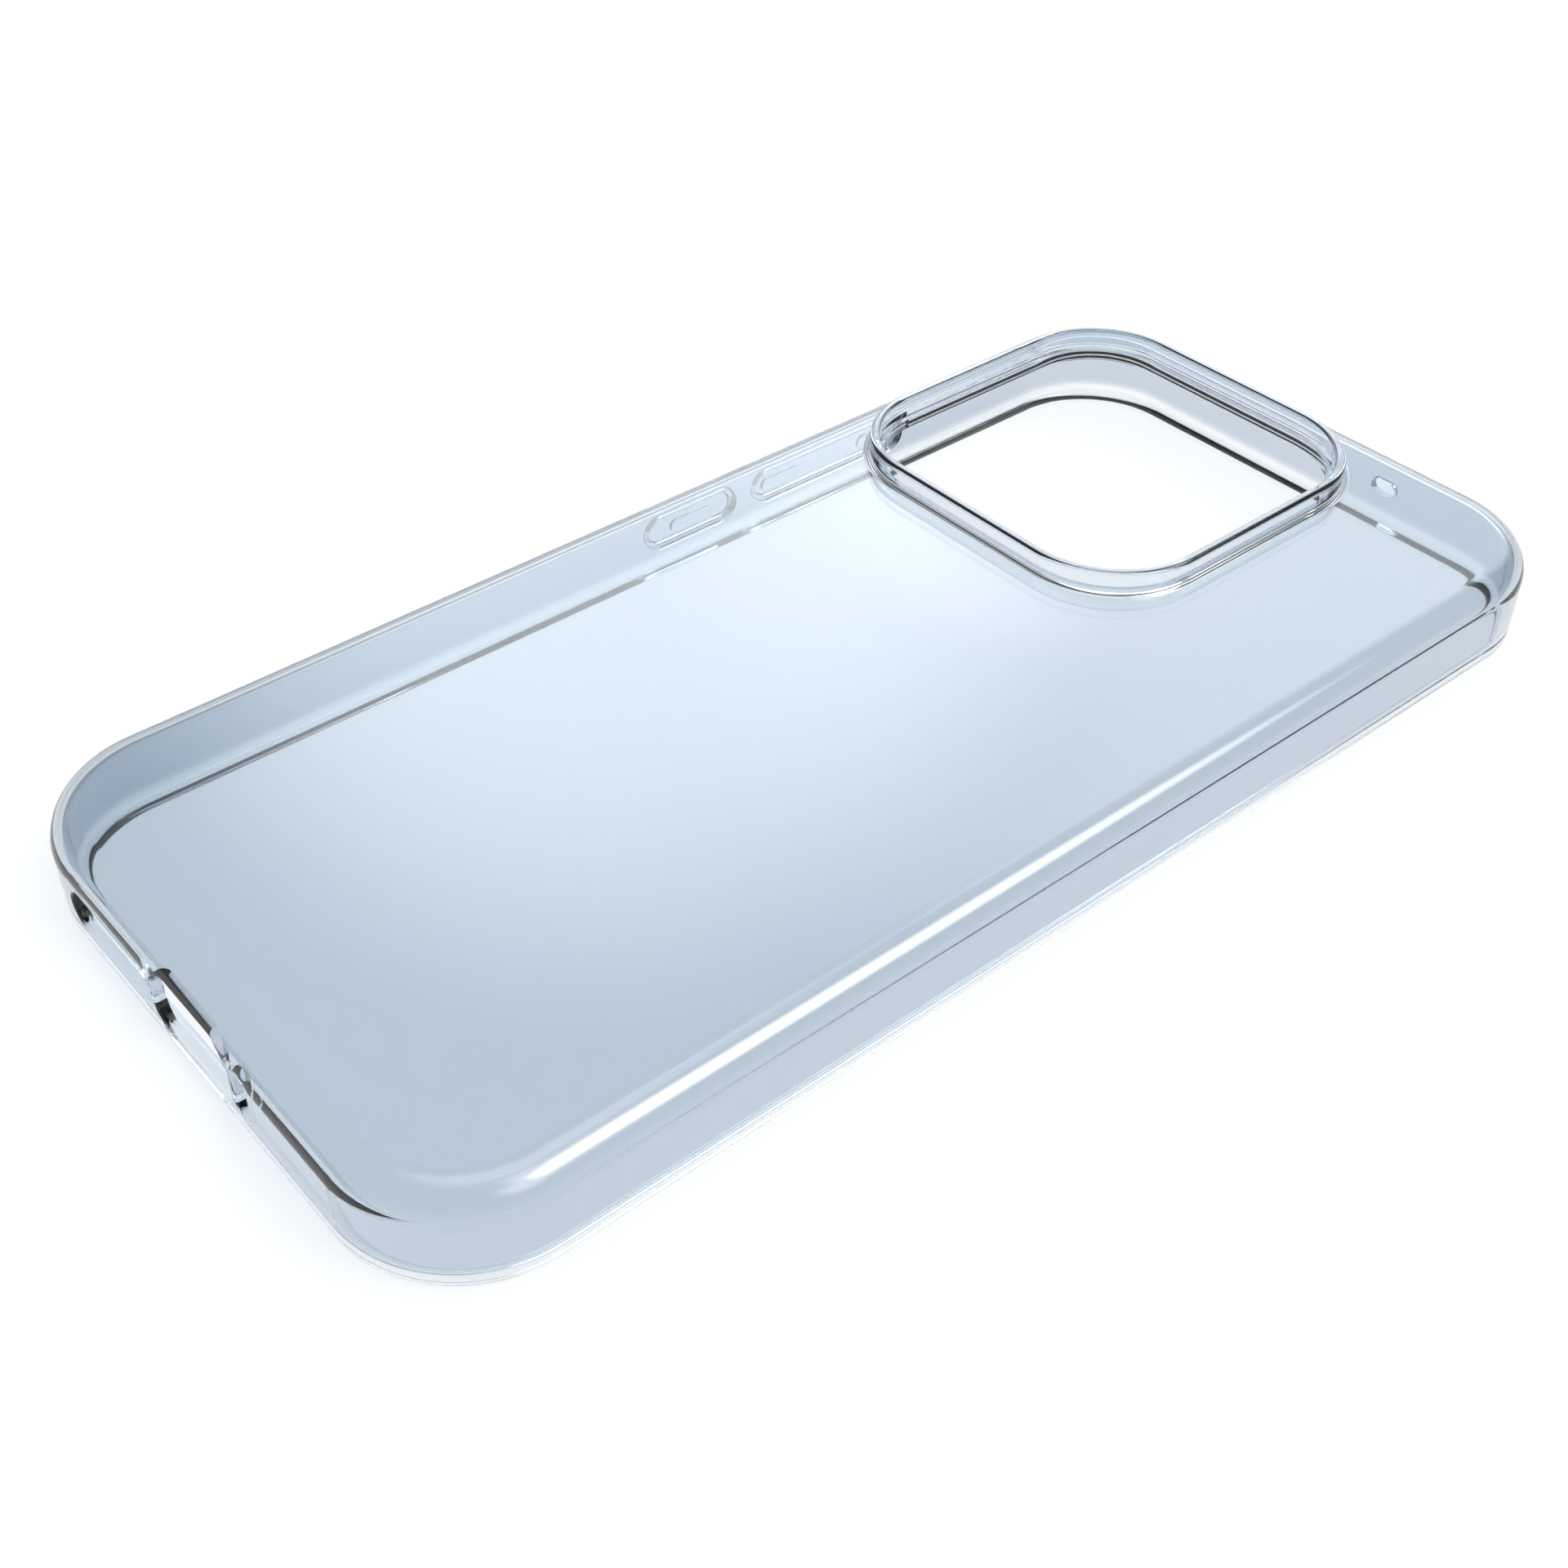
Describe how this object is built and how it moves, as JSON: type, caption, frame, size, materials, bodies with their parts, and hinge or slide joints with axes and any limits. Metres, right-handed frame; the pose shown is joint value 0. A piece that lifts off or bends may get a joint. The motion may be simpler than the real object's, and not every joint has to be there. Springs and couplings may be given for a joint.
{
  "type": "phone case",
  "caption": "Clear phone case with a soft rounded bumper frame, hard back plate, raised rounded-square camera guard, port cut-outs and pressable side-key covers.",
  "frame": {"origin": "under the middle of the case, in the plane of the front lip that it rests on, with the back face up", "axes": "+Y to the phone's top end, +Z out of the back of the case, +X to the side away from the keys and the camera"},
  "size_m": [0.0746, 0.1536, 0.0134],
  "materials": {
    "clear_soft": "clear soft polyurethane, high gloss",
    "clear_hard": "clear hard polycarbonate, high gloss"
  },
  "bodies": {
    "case": {"bumper_frame": "clear_soft", "back_plate": "clear_hard", "camera_guard": "clear_soft", "power_key_web": "clear_soft", "volume_rocker_web": "clear_soft"},
    "power_key": {"power_key_cover": "clear_soft"},
    "volume_rocker": {"volume_rocker_cover": "clear_soft"}
  },
  "joints": [
    {"name": "power_key_press", "type": "slide", "parent": "case", "child": "power_key", "axis": [1, 0, 0], "range_m": [0, 0.00035], "stiffness_N_per_m": 2000},
    {"name": "volume_rocker_tilt", "type": "hinge", "parent": "case", "child": "volume_rocker", "pos_m": [-0.0361, 0.029, 0.0051], "axis": [0, 0, 1], "range_deg": [-1.6, 1.6], "stiffness_Nm_per_rad": 0.3}
  ]
}
